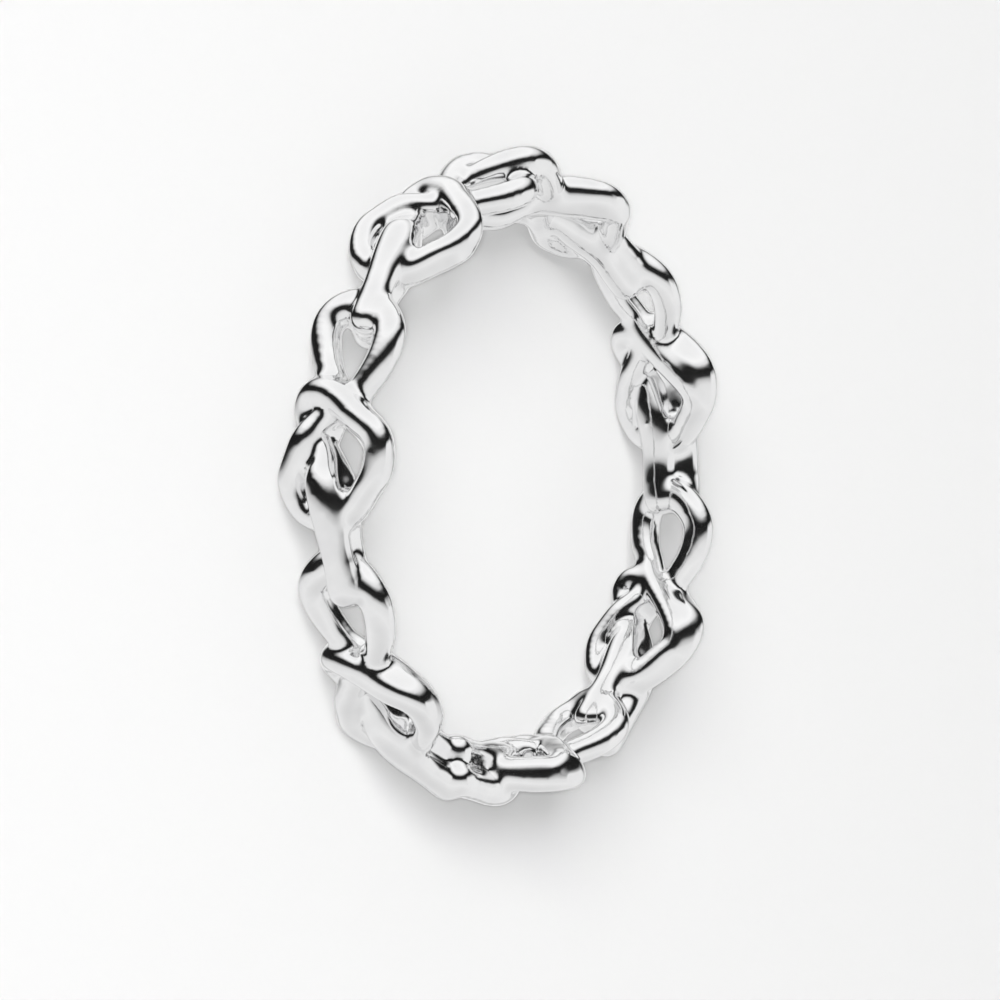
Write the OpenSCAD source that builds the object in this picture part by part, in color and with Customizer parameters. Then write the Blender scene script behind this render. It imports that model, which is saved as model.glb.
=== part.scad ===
// A finger ring made as one band of seven knots. Each knot is a doubled wire with an eye at its
// head, a heart-shaped overhand knot in its middle and a folded tail that hooks into the next eye.
// The ring lies on its back rim, with its axis along Z and its front rim up. Millimetres.

/* [Ring] */
// Diameter of the circle that the wires follow
centre_d = 18.8; // [16:0.2:22]
// Thickness of the wire, as a share of the thickness in the tables
wire_share = 1; // [0.9:0.05:1.1]
// Turn of the whole ring about its axis, from the top toward the left
ring_turn = 4.5; // [0:0.5:50]
// How far the strands of the eyes at the top part, the one outward and the other inward
top_lean = 0.5; // [0.3:0.1:0.7]

/* [Fineness] */
// Sides of the wire
wire_sides = 7; // [6:1:10]
// Flats on each half of the deep wire
half_sides = 3; // [3:1:4]
// Longest stretch of wire that stays straight
longest_step = 1.0; // [0.9:0.1:1.5]

/* [Hidden] */
knot_count = 7;
pitch = 360 / knot_count;
ball_sides = 8;
weld_reach = 0.5;
// Sizes of the joining metal and of the wire's narrow ends, as shares of the wire's radius
neck_share = 0.8;
weld_share = 0.7;
narrow_share = 0.9;
end_share = 0.6;
centre_r = centre_d / 2;
// Where the middle of the ring's box lies from its axis, and how low the back rim reaches
box_middle = [-0.133, 0.1];
back_rim = -1.354;

// Columns of the path, which both layers of the doubled wire follow
ALONG = 0;   // along the band, toward the tail
ACROSS = 1;  // across the band, toward the front rim
LIFT = 2;    // outward from the circle
GAP = 3;     // between the two layers' middles
LEAN = 4;    // how much nearer the outer layer is to the front rim
WIRE = 5;    // radius of the wire
FIRST_DEEP = 5;  // row from which the two layers are one deep wire, as far as the tail's end
SPLIT = 12;      // row where the deep wire is built in two, because it crosses itself

KNOT_PATH = [
    // under the arch, and down the left of the heart
    [-0.80,  0.00, -0.05, 0.60,  0.00, 0.43],
    [-0.25, -0.35,  0.00, 0.95,  0.00, 0.44],
    [ 0.35, -0.62,  0.00, 0.95,  0.00, 0.43],
    [ 0.90, -0.80,  0.00, 0.85, -0.05, 0.43],
    [ 1.45, -0.70,  0.00, 0.65, -0.05, 0.42],
    // round the bottom, and up the right
    [ 1.95, -0.38,  0.00, 0.40,  0.00, 0.41],
    [ 2.20,  0.38,  0.00, 0.20,  0.00, 0.41],
    [ 1.90,  1.15,  0.00, 0.25,  0.05, 0.42],
    [ 1.15,  1.75,  0.00, 0.35,  0.10, 0.42],
    [ 0.60,  2.10,  0.00, 0.35,  0.10, 0.42],
    [-0.10,  2.20,  0.05, 0.30,  0.10, 0.43],
    [-0.55,  2.00,  0.10, 0.30,  0.10, 0.46],
    // over the arch
    [-0.90,  1.50,  0.15, 0.40,  0.15, 0.49],
    [-1.25,  1.00,  0.15, 0.45,  0.10, 0.50],
    [-1.60,  0.45,  0.15, 0.50,  0.10, 0.50],
    [-1.70, -0.15,  0.10, 0.45,  0.05, 0.48],
    [-1.60, -0.60,  0.00, 0.35,  0.05, 0.44],
    [-1.20, -0.80, -0.08, 0.20,  0.00, 0.41],
    // down through the heart
    [-0.75, -0.62, -0.10, 0.10,  0.00, 0.40],
    [-0.20, -0.12, -0.05, 0.15,  0.05, 0.42],
    [ 0.40,  0.20, -0.05, 0.40,  0.10, 0.50],
    [ 0.90,  0.34,  0.03, 0.70,  0.10, 0.60],
    // the tail
    [ 1.40,  0.50,  0.05, 0.85,  0.15, 0.62],
    [ 2.00,  0.62,  0.05, 0.92,  0.20, 0.58],
    [ 2.80,  0.70,  0.05, 0.95,  0.30, 0.50],
    [ 3.50,  0.78,  0.05, 0.95,  0.35, 0.51],
    [ 4.15,  0.86,  0.10, 0.90,  0.30, 0.55],
];

// The eye's two strands, from its top down to the knot, with the same columns but no gap or lean
EYE_RIGHT = [
    [-4.90,  0.15, -0.10, 0, 0, 0.54],
    [-4.55,  1.00, -0.05, 0, 0, 0.53],
    [-3.85,  1.58,  0.00, 0, 0, 0.51],
    [-3.00,  1.60,  0.00, 0, 0, 0.49],
    [-2.20,  1.30,  0.00, 0, 0, 0.46],
    [-1.45,  0.80,  0.05, 0, 0, 0.42],
];
EYE_LEFT = [
    [-4.55, -0.40,  0.12, 0, 0, 0.53],
    [-4.10, -0.72,  0.15, 0, 0, 0.50],
    [-3.55, -0.69,  0.10, 0, 0, 0.50],
    [-2.80, -0.42,  0.00, 0, 0, 0.48],
    [-2.15,  0.00,  0.00, 0, 0, 0.43],
    [-1.45,  0.20, -0.10, 0, 0, 0.43],
];

// The strand that runs inside the arch, from the eye's left down to the right of the heart, in the
// same columns
BAND = [
    [-2.15,  0.00,  0.00, 0, 0, 0.44],
    [-1.60,  0.45, -0.22, 0, 0, 0.46],
    [-1.05,  1.05, -0.35, 0, 0, 0.46],
    [-0.45,  1.65, -0.35, 0, 0, 0.46],
    [ 0.10,  2.05, -0.28, 0, 0, 0.45],
    [ 0.70,  2.10, -0.10, 0, 0, 0.42],
];

// Columns of the knots' places
SIDE = 0;   // -1 on the left, with the eye up, and 1 on the right, a mirror image
PLACE = 1;  // how many pitches the knot's middle is from the top
TURN = 2;   // small turn about the ring's axis
SHIFT = 3;  // small shift toward the front rim
RAISE = 4;  // small shift outward
YAW = 5;    // small turn in the band's own surface
TILT = 6;   // small turn about the band's own run
RISE = 7;   // small slope outward toward the tail
LEAN_BY = 8;  // how far the eye's right strand leans outward and its left strand inward, to top_lean
DEPTH = 9;  // how far apart the knot's layers are, as a share of the path's gaps and lifts

KNOTS = [
    [-1, 0.5,  0.0,  0.00,  0.00, -4, -8, -4, -0.2, 1.0],
    [-1, 1.5,  0.0,  0.15,  0.00,  0,  0,  0,  0.0, 1.0],
    [-1, 2.5,  0.0,  0.00,  0.00, -3,  4,  2,  0.0, 1.0],
    [ 1, 0.5, -1.0,  0.00, -0.42,  0, 11, -3,  1.4, 0.5],
    [ 1, 1.5, -0.5, -0.10,  0.00,  0, -8, -4,  0.0, 1.0],
    [ 1, 2.5,  1.0,  0.10,  0.00, -4, -4,  4,  0.0, 1.0],
    [ 1, 3.5,  0.0,  0.00,  0.00,  0,  0,  0,  0.0, 1.0],
];

// One layer of the path: layer is 1 for the outer one, -1 for the inner one and 0 for the middle
function layer_point(row, layer, depth) = [
    row[ALONG],
    row[ACROSS] + layer * row[LEAN] / 2,
    depth * (row[LIFT] + layer * row[GAP] / 2),
    row[WIRE] * wire_share
];

// A point of an eye, which leans most halfway up its strands
function eye_point(rows, i, lean) = [
    rows[i][ALONG],
    rows[i][ACROSS],
    rows[i][LIFT] + lean * sin(180 * (i + 1) / len(rows)),
    rows[i][WIRE] * wire_share
];

// A layer's point that is narrower near the start of the deep wire
function narrowing_point(i, layer, depth) = let (
    p = layer_point(KNOT_PATH[i], layer, depth)
) [p[0], p[1], p[2], p[3] * (i > FIRST_DEEP ? end_share : i == FIRST_DEEP ? narrow_share : 1)];

// The round wire of a knot, from the inner layer round the eye to the outer layer
function round_wire(lean, depth) = concat(
    [for (i = [FIRST_DEEP + 1 : -1 : 0]) narrowing_point(i, -1, depth)],
    [for (i = [len(EYE_LEFT) - 1 : -1 : 0]) eye_point(EYE_LEFT, i, -lean)],
    [for (i = [0 : len(EYE_RIGHT) - 1]) eye_point(EYE_RIGHT, i, lean)],
    [for (i = [0 : FIRST_DEEP + 1]) narrowing_point(i, 1, depth)]
);
EYE_TOP = FIRST_DEEP + 2 + len(EYE_LEFT);

// A point of the smooth curve through the points, a share t of the way from point i to the next
function smooth(points, i, t) = let (
    last = len(points) - 1,
    a = points[max(i - 1, 0)],
    b = points[i],
    c = points[min(i + 1, last)],
    d = points[min(i + 2, last)]
) (2 * b + (c - a) * t + (2 * a - 5 * b + 4 * c - d) * t * t + (3 * b - a - 3 * c + d) * t * t * t) / 2;

function reach(a, b) = norm([for (k = [0 : 2]) b[k] - a[k]]);

// Stations along the curve through the points from one of them to another. Each stretch has as many
// as its length in the guide calls for, so that curves with one guide have stations that pair up.
function stations(points, guide, from, to) = concat(
    [
        for (i = [from : to - 1])
            let (parts = ceil(reach(guide[i], guide[i + 1]) / longest_step))
                for (k = [0 : parts - 1]) smooth(points, i, k / parts)
    ],
    [points[to]]
);

// A knot's own [along, across, out] brought to its place on the ring
function placed(p, knot) = let (
    along = p[0] * cos(knot[YAW]) - p[1] * sin(knot[YAW]),
    level = p[0] * sin(knot[YAW]) + p[1] * cos(knot[YAW]),
    across = level * cos(knot[TILT]) - p[2] * sin(knot[TILT]) + knot[SHIFT],
    out = level * sin(knot[TILT]) + p[2] * cos(knot[TILT]) + along * tan(knot[RISE]) + knot[RAISE],
    angle = pitch * knot[PLACE] + knot[TURN] + along / centre_r * 180 / PI,
    r = centre_r + out,
    x = knot[SIDE] * r * sin(angle),
    y = r * cos(angle)
) [
    x * cos(ring_turn) - y * sin(ring_turn) - box_middle[0],
    x * sin(ring_turn) + y * cos(ring_turn) - box_middle[1],
    across - back_rim
];

function unit(v) = v / norm(v);

// The way that the wire runs at a station
function run(middles, i) = unit(middles[min(i + 1, len(middles) - 1)] - middles[max(i - 1, 0)]);

// A direction square to the wire at each station, carried along it without twisting
function carried(middles, i, old) = let (
    along = run(middles, i),
    new = unit(old - along * (old * along))
) i == len(middles) - 1 ? [new] : concat([new], carried(middles, i + 1, new));

// Rings round a round wire
function round_rings(middles, radii) = let (
    ups = carried(middles, 0, [0.1, 0.2, 1])
) [
    for (i = [0 : len(middles) - 1])
        let (over = cross(run(middles, i), ups[i]))
            [
                for (k = [0 : wire_sides - 1])
                    let (a = 360 * k / wire_sides)
                        middles[i] + radii[i] * (ups[i] * cos(a) + over * sin(a))
            ]
];

// Rings round a deep wire: half round its outer layer and half round its inner one
function deep_rings(outer, inner, radii) = let (middles = (outer + inner) / 2) [
    for (i = [0 : len(middles) - 1])
        let (
            up = unit(outer[i] - inner[i]),
            over = unit(cross(run(middles, i), up))
        )
            [
                for (k = [0 : 2 * half_sides + 1])
                    let (
                        first = k <= half_sides,
                        a = (first ? k : k - 1) * 180 / half_sides - 90
                    )
                        (first ? outer[i] : inner[i]) + radii[i] * (up * cos(a) + over * sin(a))
            ]
];

// A tube through rings of equally many points, closed at both ends
module tube(rings) {
    n = len(rings[0]);
    last = len(rings) - 1;
    walls = [
        for (i = [0 : last - 1])
            for (k = [0 : n - 1])
                let (
                    a = i * n + k,
                    b = i * n + (k + 1) % n
                )
                    each [[a, b + n, b], [a, a + n, b + n]]
    ];
    ends = [for (k = [1 : n - 2]) each [[0, k, k + 1], [last * n, last * n + k + 1, last * n + k]]];
    polyhedron([for (ring = rings) each ring], concat(walls, ends));
}

// Some of a list's items
function part(list, from, to) = [for (i = [from : to]) list[i]];

// The first two layers and the eye between them, as two tubes that meet at the eye's top. Their
// ends narrow inside the deep wire.
module round_part(place) {
    points = round_wire(place[LEAN_BY] * top_lean, place[DEPTH]);
    end = len(points) - 1;
    first = stations(points, points, 0, EYE_TOP);
    second = stations(points, points, EYE_TOP, end);
    wire = concat(first, part(second, 1, len(second) - 1));
    rings = round_rings([for (p = wire) placed(p, place)], [for (p = wire) p[3]]);
    tube(part(rings, 0, len(first) - 1));
    tube(part(rings, len(first) - 1, len(rings) - 1));
}

// The strand inside the arch, as a tube of its own
module band_part(place) {
    points = [for (row = BAND) layer_point(row, 0, place[DEPTH])];
    wire = stations(points, points, 0, len(BAND) - 1);
    tube(round_rings([for (p = wire) placed(p, place)], [for (p = wire) p[3]]));
}

// Two more stations past the end of a wire, which round it off
function dome(points, end, before) = [
    for (a = [35, 70])
        let (
            r = points[end][3],
            way = unit([for (k = [0 : 2]) points[end][k] - points[before][k]])
        )
            points[end] + [each way * r * sin(a), r * cos(a) - r]
];

function domed(points) = let (
    last = len(points) - 1,
    start = dome(points, 0, 1)
) concat([start[1], start[0]], points, dome(points, last, last - 1));

// The deep wire, from the bottom of the heart over the arch to the tail's round end, as two tubes
// that meet on the arch
module deep_part(place) {
    depth = place[DEPTH];
    middle = [for (row = KNOT_PATH) layer_point(row, 0, depth)];
    last = len(KNOT_PATH) - 1;
    outer = domed(stations([for (row = KNOT_PATH) layer_point(row, 1, depth)], middle, FIRST_DEEP, last));
    inner = domed(stations([for (row = KNOT_PATH) layer_point(row, -1, depth)], middle, FIRST_DEEP, last));
    half = len(stations(middle, middle, FIRST_DEEP, SPLIT)) + 1;
    rings = deep_rings(
        [for (p = outer) placed(p, place)],
        [for (p = inner) placed(p, place)],
        [for (p = outer) p[3]]
    );
    tube(part(rings, 0, half));
    tube(part(rings, half, len(rings) - 1));
}

module ball(p, share, place) {
    translate(placed(p, place))
        sphere(r = p[3] * share, $fn = ball_sides);
}

// The metal that joins the eye's two strands under the arch
module neck(place) {
    lean = place[LEAN_BY] * top_lean;
    hull() {
        ball(eye_point(EYE_RIGHT, len(EYE_RIGHT) - 1, lean), neck_share, place);
        ball(eye_point(EYE_LEFT, len(EYE_LEFT) - 1, -lean), neck_share, place);
    }
}

// The metal in the corners where the eye's top meets its neighbour
module weld(place) {
    top = eye_point(EYE_RIGHT, 0, place[LEAN_BY] * top_lean);
    hull()
        for (step = [-weld_reach, weld_reach])
            ball(top + [step, 0, 0, 0], weld_share, place);
}

module knot(place) {
    round_part(place);
    band_part(place);
    deep_part(place);
    neck(place);
    weld(place);
}

module knot_ring() {
    color([0.86, 0.86, 0.87])
        union() {
            for (place = KNOTS)
                knot(place);
        }
}

knot_ring();
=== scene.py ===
import math

import bpy
import numpy as np
from mathutils import Matrix, Vector


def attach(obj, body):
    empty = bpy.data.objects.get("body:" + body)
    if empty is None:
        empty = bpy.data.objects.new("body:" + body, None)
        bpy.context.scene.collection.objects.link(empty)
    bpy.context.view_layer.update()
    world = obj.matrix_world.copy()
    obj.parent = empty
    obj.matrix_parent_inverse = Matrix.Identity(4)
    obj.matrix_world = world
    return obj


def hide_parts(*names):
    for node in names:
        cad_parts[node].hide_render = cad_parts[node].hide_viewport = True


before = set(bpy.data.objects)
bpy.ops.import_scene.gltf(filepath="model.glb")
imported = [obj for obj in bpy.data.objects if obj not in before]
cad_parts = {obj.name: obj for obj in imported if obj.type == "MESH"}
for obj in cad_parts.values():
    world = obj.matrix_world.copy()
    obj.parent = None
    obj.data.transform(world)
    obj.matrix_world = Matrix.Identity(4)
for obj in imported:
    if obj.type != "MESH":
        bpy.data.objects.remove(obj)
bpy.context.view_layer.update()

MM = 0.001

# The ring's wires, in millimetres and degrees, from the same tables as the solid
CENTRE_R = 9.4              # radius of the circle that the wires follow
RING_TURN = 4.5             # turn of the whole ring about its axis
TOP_LEAN = 0.5              # how far the strands of the eyes at the top part
PITCH = 360 / 7             # from knot to knot
BOX_MIDDLE = (-0.133, 0.1)  # the middle of the ring's box, from its axis
BACK_RIM = -1.354           # how low the back rim reaches
STEP = 0.08                 # longest stretch of wire that stays straight
SIDES = 28                  # sides of the wire
DOME = (20, 40, 60, 80)     # places round the domed end of a wire
SKIN_CELL = 0.094           # size of the cells that join the wires to one skin
ROUNDINGS = 18              # how often the skin is smoothed

# rows of the path: the two layers are one deep wire from FIRST_DEEP to the tail's end, and the
# groove along the tail deepens between the other two
FIRST_DEEP = 5
GROOVE_FROM, GROOVE_TO = 21, 23
# thickness of the metal between the two layers, to the wire's own
FULL_WEB, GROOVE_WEB = 1.02, 0.6

# Both layers of the doubled wire follow this path: along the band toward the tail, across it
# toward the front rim, outward lift, gap between the layers, how much nearer the outer one is to
# the front rim, and the wire's radius. The strands below have no gap.
KNOT_PATH = [
    (-0.80,  0.00, -0.05, 0.60,  0.00, 0.43),
    (-0.25, -0.35,  0.00, 0.95,  0.00, 0.44),
    ( 0.35, -0.62,  0.00, 0.95,  0.00, 0.43),
    ( 0.90, -0.80,  0.00, 0.85, -0.05, 0.43),
    ( 1.45, -0.70,  0.00, 0.65, -0.05, 0.42),
    ( 1.95, -0.38,  0.00, 0.40,  0.00, 0.41),
    ( 2.20,  0.38,  0.00, 0.20,  0.00, 0.41),
    ( 1.90,  1.15,  0.00, 0.25,  0.05, 0.42),
    ( 1.15,  1.75,  0.00, 0.35,  0.10, 0.42),
    ( 0.60,  2.10,  0.00, 0.35,  0.10, 0.42),
    (-0.10,  2.20,  0.05, 0.30,  0.10, 0.43),
    (-0.55,  2.00,  0.10, 0.30,  0.10, 0.46),
    (-0.90,  1.50,  0.15, 0.40,  0.15, 0.49),
    (-1.25,  1.00,  0.15, 0.45,  0.10, 0.50),
    (-1.60,  0.45,  0.15, 0.50,  0.10, 0.50),
    (-1.70, -0.15,  0.10, 0.45,  0.05, 0.48),
    (-1.60, -0.60,  0.00, 0.35,  0.05, 0.44),
    (-1.20, -0.80, -0.08, 0.20,  0.00, 0.41),
    (-0.75, -0.62, -0.10, 0.10,  0.00, 0.40),
    (-0.20, -0.12, -0.05, 0.15,  0.05, 0.42),
    ( 0.40,  0.20, -0.05, 0.40,  0.10, 0.50),
    ( 0.90,  0.34,  0.03, 0.70,  0.10, 0.60),
    ( 1.40,  0.50,  0.05, 0.85,  0.15, 0.62),
    ( 2.00,  0.62,  0.05, 0.92,  0.20, 0.58),
    ( 2.80,  0.70,  0.05, 0.95,  0.30, 0.50),
    ( 3.50,  0.78,  0.05, 0.95,  0.35, 0.51),
    ( 4.15,  0.86,  0.10, 0.90,  0.30, 0.55),
]
# the eye, in two strands that meet at its top
EYE_RIGHT = [
    (-4.90,  0.15, -0.10, 0, 0, 0.54),
    (-4.55,  1.00, -0.05, 0, 0, 0.53),
    (-3.85,  1.58,  0.00, 0, 0, 0.51),
    (-3.00,  1.60,  0.00, 0, 0, 0.49),
    (-2.20,  1.30,  0.00, 0, 0, 0.46),
    (-1.45,  0.80,  0.05, 0, 0, 0.42),
]
EYE_LEFT = [
    (-4.55, -0.40,  0.12, 0, 0, 0.53),
    (-4.10, -0.72,  0.15, 0, 0, 0.50),
    (-3.55, -0.69,  0.10, 0, 0, 0.50),
    (-2.80, -0.42,  0.00, 0, 0, 0.48),
    (-2.15,  0.00,  0.00, 0, 0, 0.43),
    (-1.45,  0.20, -0.10, 0, 0, 0.43),
]
# the strand under the arch, from the eye's left to the right lobe
BAND = [
    (-2.15,  0.00,  0.00, 0, 0, 0.44),
    (-1.60,  0.45, -0.22, 0, 0, 0.46),
    (-1.05,  1.05, -0.35, 0, 0, 0.46),
    (-0.45,  1.65, -0.35, 0, 0, 0.46),
    ( 0.10,  2.05, -0.28, 0, 0, 0.45),
    ( 0.70,  2.10, -0.10, 0, 0, 0.42),
]
# side, place in pitches from the top, turn, shift to the front rim, shift outward, yaw, tilt, rise,
# lean of the eye's strands to TOP_LEAN, and depth as a share of the path's gaps and lifts
KNOTS = [
    (-1, 0.5,  0.0,  0.00,  0.00, -4, -8, -4, -0.2, 1.0),
    (-1, 1.5,  0.0,  0.15,  0.00,  0,  0,  0,  0.0, 1.0),
    (-1, 2.5,  0.0,  0.00,  0.00, -3,  4,  2,  0.0, 1.0),
    ( 1, 0.5, -1.0,  0.00, -0.42,  0, 11, -3,  1.4, 0.5),
    ( 1, 1.5, -0.5, -0.10,  0.00,  0, -8, -4,  0.0, 1.0),
    ( 1, 2.5,  1.0,  0.10,  0.00, -4, -4,  4,  0.0, 1.0),
    ( 1, 3.5,  0.0,  0.00,  0.00,  0,  0,  0,  0.0, 1.0),
]


def layer_points(layer, first, last, depth):
    """One layer of the path: 1 is the outer one, -1 the inner one and 0 the middle."""
    return [(along, across + layer * lean / 2, depth * (lift + layer * gap / 2), wire)
            for along, across, lift, gap, lean, wire in KNOT_PATH[first:last + 1]]


def strand_points(rows, depth):
    return [(along, across, depth * lift, wire) for along, across, lift, _, _, wire in rows]


def eye_points(rows, lean):
    """The eye's strands lean most halfway up."""
    n = len(rows)
    return [(along, across, lift + lean * math.sin(math.pi * (i + 1) / n), wire)
            for i, (along, across, lift, _, _, wire) in enumerate(rows)]


def smooth_curve(points, guide, step):
    """Points along the smooth curve through the given ones; curves with one guide pair up."""
    p = np.array(points, float)
    g = np.array(guide, float)[:, :3]
    last = len(p) - 1
    out = []
    for i in range(last):
        a, b, c, d = p[max(i - 1, 0)], p[i], p[i + 1], p[min(i + 2, last)]
        parts = max(1, math.ceil(np.linalg.norm(g[i + 1] - g[i]) / step))
        for k in range(parts):
            t = k / parts
            out.append((2 * b + (c - a) * t + (2 * a - 5 * b + 4 * c - d) * t * t
                        + (3 * b - a - 3 * c + d) * t ** 3) / 2)
    out.append(p[last])
    return np.array(out)


def placed(p, knot):
    """Where points of a knot's band lie round the ring, from the middle of its box."""
    side, place, turn, shift, lifted, yaw, tilt, rise = knot[:8]
    yaw, tilt, rise = (math.radians(v) for v in (yaw, tilt, rise))
    along = p[:, 0] * math.cos(yaw) - p[:, 1] * math.sin(yaw)
    level = p[:, 0] * math.sin(yaw) + p[:, 1] * math.cos(yaw)
    across = level * math.cos(tilt) - p[:, 2] * math.sin(tilt) + shift
    out = level * math.sin(tilt) + p[:, 2] * math.cos(tilt) + along * math.tan(rise) + lifted
    angle = math.radians(PITCH * place + turn) + along / CENTRE_R
    r = CENTRE_R + out
    x, y = side * r * np.sin(angle), r * np.cos(angle)
    c, s = math.cos(math.radians(RING_TURN)), math.sin(math.radians(RING_TURN))
    return np.column_stack([x * c - y * s - BOX_MIDDLE[0], x * s + y * c - BOX_MIDDLE[1],
                            across - BACK_RIM])


def unit(v):
    return v / np.linalg.norm(v, axis=-1, keepdims=True)


def runs(middles):
    """The wire's direction at each of its middles."""
    return unit(np.vstack([middles[1:], middles[-1:]]) - np.vstack([middles[:1], middles[:-1]]))


def tube(middles, ups, half_up, half_over):
    """A closed tube of round or oval section. Its ends are domed."""
    run = runs(middles)
    overs = unit(np.cross(run, ups))
    ups = unit(np.cross(overs, run))
    a = np.arange(SIDES) / SIDES * 2 * math.pi
    rings = []

    def ring(i, share, ahead):
        c = middles[i] + run[i] * ahead
        rings.append(c + share * (half_up[i] * np.outer(np.cos(a), ups[i])
                                  + half_over[i] * np.outer(np.sin(a), overs[i])))

    dome = [math.radians(b) for b in DOME]
    for b in reversed(dome):
        ring(0, math.cos(b), -half_over[0] * math.sin(b))
    for i in range(len(middles)):
        ring(i, 1, 0)
    for b in dome:
        ring(-1, math.cos(b), half_over[-1] * math.sin(b))
    verts = np.vstack(rings)
    n = len(rings)
    k = np.arange(SIDES)
    faces = []
    for i in range(n - 1):
        lo, hi = i * SIDES, (i + 1) * SIDES
        faces += np.column_stack([lo + k, lo + (k + 1) % SIDES, hi + (k + 1) % SIDES, hi + k]).tolist()
    faces.append(k[::-1].tolist())
    faces.append(((n - 1) * SIDES + k).tolist())
    return verts, faces


def carried(middles):
    """A direction square to the wire, carried along it without twisting."""
    run = runs(middles)
    up = np.array([0.1, 0.2, 1.0])   # no wire starts along it
    ups = []
    for d in run:
        up = up - d * np.dot(up, d)
        up = up / np.linalg.norm(up)
        ups.append(up)
    return np.array(ups)


def round_wire(points, knot):
    wire = smooth_curve(points, points, STEP)
    middles = placed(wire[:, :3], knot)
    return tube(middles, carried(middles), wire[:, 3], wire[:, 3])


def knot_tubes(knot):
    """The knot's tubes: the eye with its two layers, the band under the arch, and the deep wire."""
    lean, depth = knot[8] * TOP_LEAN, knot[9]
    outer, inner = (layer_points(layer, 0, FIRST_DEEP + 1, depth) for layer in (1, -1))
    left, right = eye_points(EYE_LEFT, -lean), eye_points(EYE_RIGHT, lean)
    yield round_wire(inner[::-1] + left[::-1] + right + outer, knot)
    yield round_wire(strand_points(BAND, depth), knot)
    last = len(KNOT_PATH) - 1
    guide = layer_points(0, FIRST_DEEP, last, depth)
    outer, inner = (smooth_curve(layer_points(layer, FIRST_DEEP, last, depth), guide, STEP)
                    for layer in (1, -1))
    wire = outer[:, 3]
    row = np.linspace(FIRST_DEEP, last, len(wire))
    web = np.interp(row, [GROOVE_FROM, GROOVE_TO], [FULL_WEB, GROOVE_WEB])
    outer, inner = placed(outer[:, :3], knot), placed(inner[:, :3], knot)
    gap = np.linalg.norm(outer - inner, axis=1)
    ups = unit(outer - inner)
    yield tube(outer, ups, wire, wire)
    yield tube(inner, ups, wire, wire)
    yield tube((outer + inner) / 2, ups, gap / 2 + wire * np.minimum(web, 1), wire * web)


def mesh_object(name, verts, faces):
    mesh = bpy.data.meshes.new(name)
    mesh.from_pydata(verts, [], faces)
    obj = bpy.data.objects.new(name, mesh)
    bpy.context.scene.collection.objects.link(obj)
    return obj


def baked(obj):
    """The object's mesh with its modifiers applied."""
    graph = bpy.context.evaluated_depsgraph_get()
    mesh = bpy.data.meshes.new_from_object(obj.evaluated_get(graph))
    obj.modifiers.clear()
    obj.data = mesh
    return obj


verts, faces, start = [], [], 0
for knot in KNOTS:
    for v, f in knot_tubes(knot):
        verts.append(v)
        faces += [[i + start for i in face] for face in f]
        start += len(v)
ring = mesh_object("silver_knot_band", np.vstack(verts).tolist(), faces)
# the wires become one skin, and smoothing rounds the corners where they meet as a cast ring's are
remesh = ring.modifiers.new("skin", "REMESH")
remesh.mode = "VOXEL"
remesh.voxel_size = SKIN_CELL
smooth = ring.modifiers.new("fillets", "SMOOTH")
smooth.factor = 0.5
smooth.iterations = ROUNDINGS
baked(ring)
ring.data.transform(Matrix.Scale(MM, 4))
ring.data.shade_smooth()


def material(name):
    m = bpy.data.materials.new(name)
    m.use_nodes = True
    return m, m.node_tree.nodes, m.node_tree.links, m.node_tree.nodes["Principled BSDF"]


def noise(scale, detail):
    node = nodes.new("ShaderNodeTexNoise")
    node.inputs["Scale"].default_value = scale
    node.inputs["Detail"].default_value = detail
    links.new(coords.outputs["Object"], node.inputs["Vector"])
    return node.outputs["Fac"]


def ramp(factor, stops):
    """A colour from the stops, each a position and a colour, by the factor."""
    node = nodes.new("ShaderNodeValToRGB")
    elements = node.color_ramp.elements
    while len(elements) < len(stops):
        elements.new(0.5)
    for element, (position, colour) in zip(elements, stops):
        element.position = position
        element.color = (*colour, 1)
    links.new(factor, node.inputs["Fac"])
    return node.outputs["Color"]


def map_range(value, source, target=(0, 1)):
    node = nodes.new("ShaderNodeMapRange")
    for name, number in zip(("From Min", "From Max", "To Min", "To Max"), (*source, *target)):
        node.inputs[name].default_value = number
    links.new(value, node.inputs["Value"])
    return node.outputs["Result"]


# silver, a little uneven from wear and polish
silver, nodes, links, shader = material("polished_silver")
shader.inputs["Metallic"].default_value = 1
coords = nodes.new("ShaderNodeTexCoord")
cloud = noise(900, 3)
tone = ramp(cloud, [(0.3, (0.90, 0.90, 0.905)), (0.7, (0.96, 0.96, 0.96))])
links.new(tone, shader.inputs["Base Color"])
links.new(map_range(cloud, (0, 1), (0.08, 0.14)), shader.inputs["Roughness"])
bump = nodes.new("ShaderNodeBump")
bump.inputs["Strength"].default_value = 0.06
bump.inputs["Distance"].default_value = 0.00008
links.new(noise(700, 2), bump.inputs["Height"])
links.new(bump.outputs["Normal"], shader.inputs["Normal"])
ring.data.materials.clear()
ring.data.materials.append(silver)

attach(ring, "root")
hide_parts("knot_ring")

paper, nodes, links, shader = material("pale_paper")
shader.inputs["Base Color"].default_value = (0.35, 0.35, 0.35, 1)
shader.inputs["Roughness"].default_value = 0.9
shader.inputs["Specular IOR Level"].default_value = 0.1
REACH = 2   # metres of floor to each side
corners = [(-REACH, -REACH, 0), (REACH, -REACH, 0), (REACH, REACH, 0), (-REACH, REACH, 0)]
floor = mesh_object("studio_floor", corners, [[0, 1, 2, 3]])
floor.data.materials.append(paper)
floor.visible_glossy = False

# The photograph's camera in the ring's own frame: turned about the upright, and raised
TURN, RAISED = math.radians(54.27), math.radians(3.85)
DISTANCE = 161.06          # from the ring's middle, along the view
SCALE = 31.14              # pixels to a millimetre at the ring's middle
MIDDLE = (496.61, 478.38)  # pixel that shows the ring's middle
PICTURE = 1000             # pixels of the picture's width and height
SENSOR = 36

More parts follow.
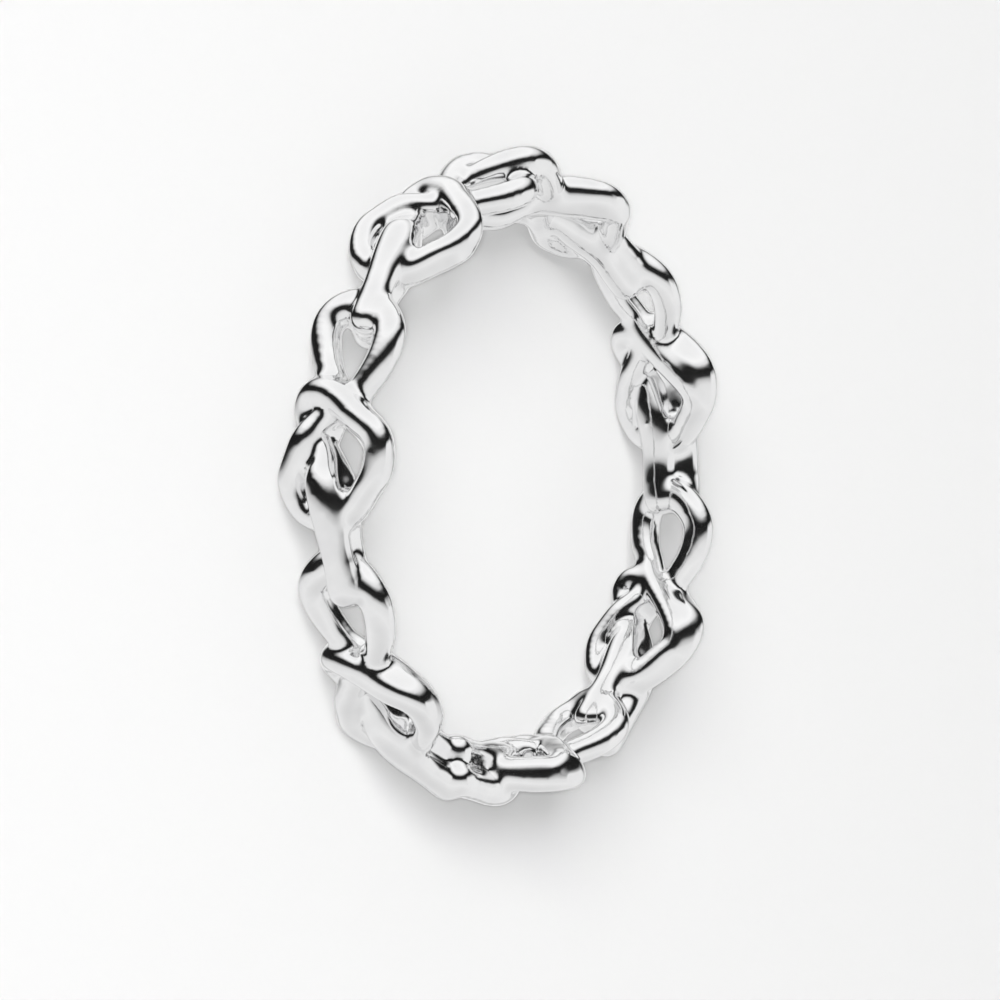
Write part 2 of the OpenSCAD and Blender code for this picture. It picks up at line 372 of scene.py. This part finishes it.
right = Vector((math.cos(TURN), 0, math.sin(TURN)))
up = Vector((math.sin(RAISED) * math.sin(TURN), math.cos(RAISED), -math.sin(RAISED) * math.cos(TURN)))
toward = right.cross(up)
eye = (right * (PICTURE / 2 - MIDDLE[0]) / SCALE + up * (MIDDLE[1] - PICTURE / 2) / SCALE
       + toward * DISTANCE - Vector((*BOX_MIDDLE, BACK_RIM)))
camera_data = bpy.data.cameras.new("camera")
camera_data.sensor_width = SENSOR
camera_data.lens = SENSOR * DISTANCE * SCALE / PICTURE
camera_data.clip_start = 0.01
camera_data.clip_end = 10
camera = bpy.data.objects.new("camera", camera_data)
camera.matrix_world = (Matrix.Translation(eye * MM)
                       @ Matrix((right, up, toward)).transposed().to_4x4())
bpy.context.scene.collection.objects.link(camera)
bpy.context.scene.camera = camera

# A white studio with one dark gap all round, between the lamps overhead and the table, as the
# photograph's reflections show it. Up in the photograph is +Y here, because the ring lies on its side.
STOPS = [  # height of the direction, from -1 straight down to 1 straight up, and its brightness
    (-1.00, 0.72), (-0.55, 0.85), (-0.15, 0.78), (0.00, 0.50), (0.05, 0.22), (0.11, 0.02),
    (0.42, 0.01), (0.48, 0.12), (0.60, 0.75), (0.75, 1.00), (1.00, 0.90),
]
BEHIND = (0.81, -0.07, -0.58)  # the camera sees the studio white all the way there
CARD = (0.80, -0.05, 0.59)     # a white card to the right lights the sides of the wires
CARD_TONE = (0.85, 0.85, 0.85, 1)

world = bpy.data.worlds.new("studio")
world.use_nodes = True
nodes, links = world.node_tree.nodes, world.node_tree.links
direction = nodes.new("ShaderNodeTexCoord").outputs["Generated"]


def toward_share(target, edge, shares=(0, 1)):
    """A share that grows across the edge, as the direction turns to the target."""
    node = nodes.new("ShaderNodeVectorMath")
    node.operation = "DOT_PRODUCT"
    node.inputs[1].default_value = target
    links.new(direction, node.inputs[0])
    return map_range(node.outputs["Value"], edge, shares)


def mix_node(factor, first):
    node = nodes.new("ShaderNodeMix")
    node.data_type = "RGBA"
    links.new(factor, node.inputs["Factor"])
    links.new(first, node.inputs["A"])
    return node


split = nodes.new("ShaderNodeSeparateXYZ")
links.new(direction, split.inputs["Vector"])
height = split.outputs["Y"]
bands = ramp(map_range(height, (-1, 1)), [((h + 1) / 2, (value, value, value)) for h, value in STOPS])
screen = mix_node(toward_share(BEHIND, (0.78, 0.86)), bands)
links.new(toward_share(BEHIND, (0.86, 0.95), (0.50, 0.85)), screen.inputs["B"])
card_share = nodes.new("ShaderNodeMath")
card_share.operation = "MULTIPLY"
links.new(toward_share(CARD, (0.84, 0.93)), card_share.inputs[0])
links.new(map_range(height, (0.24, 0.10)), card_share.inputs[1])
card = mix_node(card_share.outputs["Value"], screen.outputs["Result"])
card.inputs["B"].default_value = CARD_TONE
links.new(card.outputs["Result"], nodes["Background"].inputs["Color"])
nodes["Background"].inputs["Strength"].default_value = 1.0
bpy.context.scene.world = world
bpy.context.scene.view_settings.view_transform = "Standard"


def lamp_object(name, data):
    lamp = bpy.data.objects.new(name, data)
    lamp.visible_glossy = False
    bpy.context.scene.collection.objects.link(lamp)
    return lamp


# the key shines from the camera's side and from above in the photograph, which casts the shadow there
key = bpy.data.lights.new("key", "SUN")
key.energy = 6.6
key.angle = math.radians(30)
lamp_object("key", key).rotation_euler = Vector((-0.81, 0.45, 0.58)).to_track_quat("Z", "Y").to_euler()
# the fill shines from beside the lens, so that its own shadows stay behind the ring
fill = bpy.data.lights.new("fill", "POINT")
fill.energy = 66
fill.shadow_soft_size = 0.004
fill.use_nodes = True
glow = fill.node_tree.nodes["Emission"]
falloff = fill.node_tree.nodes.new("ShaderNodeLightFalloff")
falloff.inputs["Strength"].default_value = 1
fill.node_tree.links.new(falloff.outputs["Constant"], glow.inputs["Strength"])
lamp_object("fill", fill).location = eye * MM
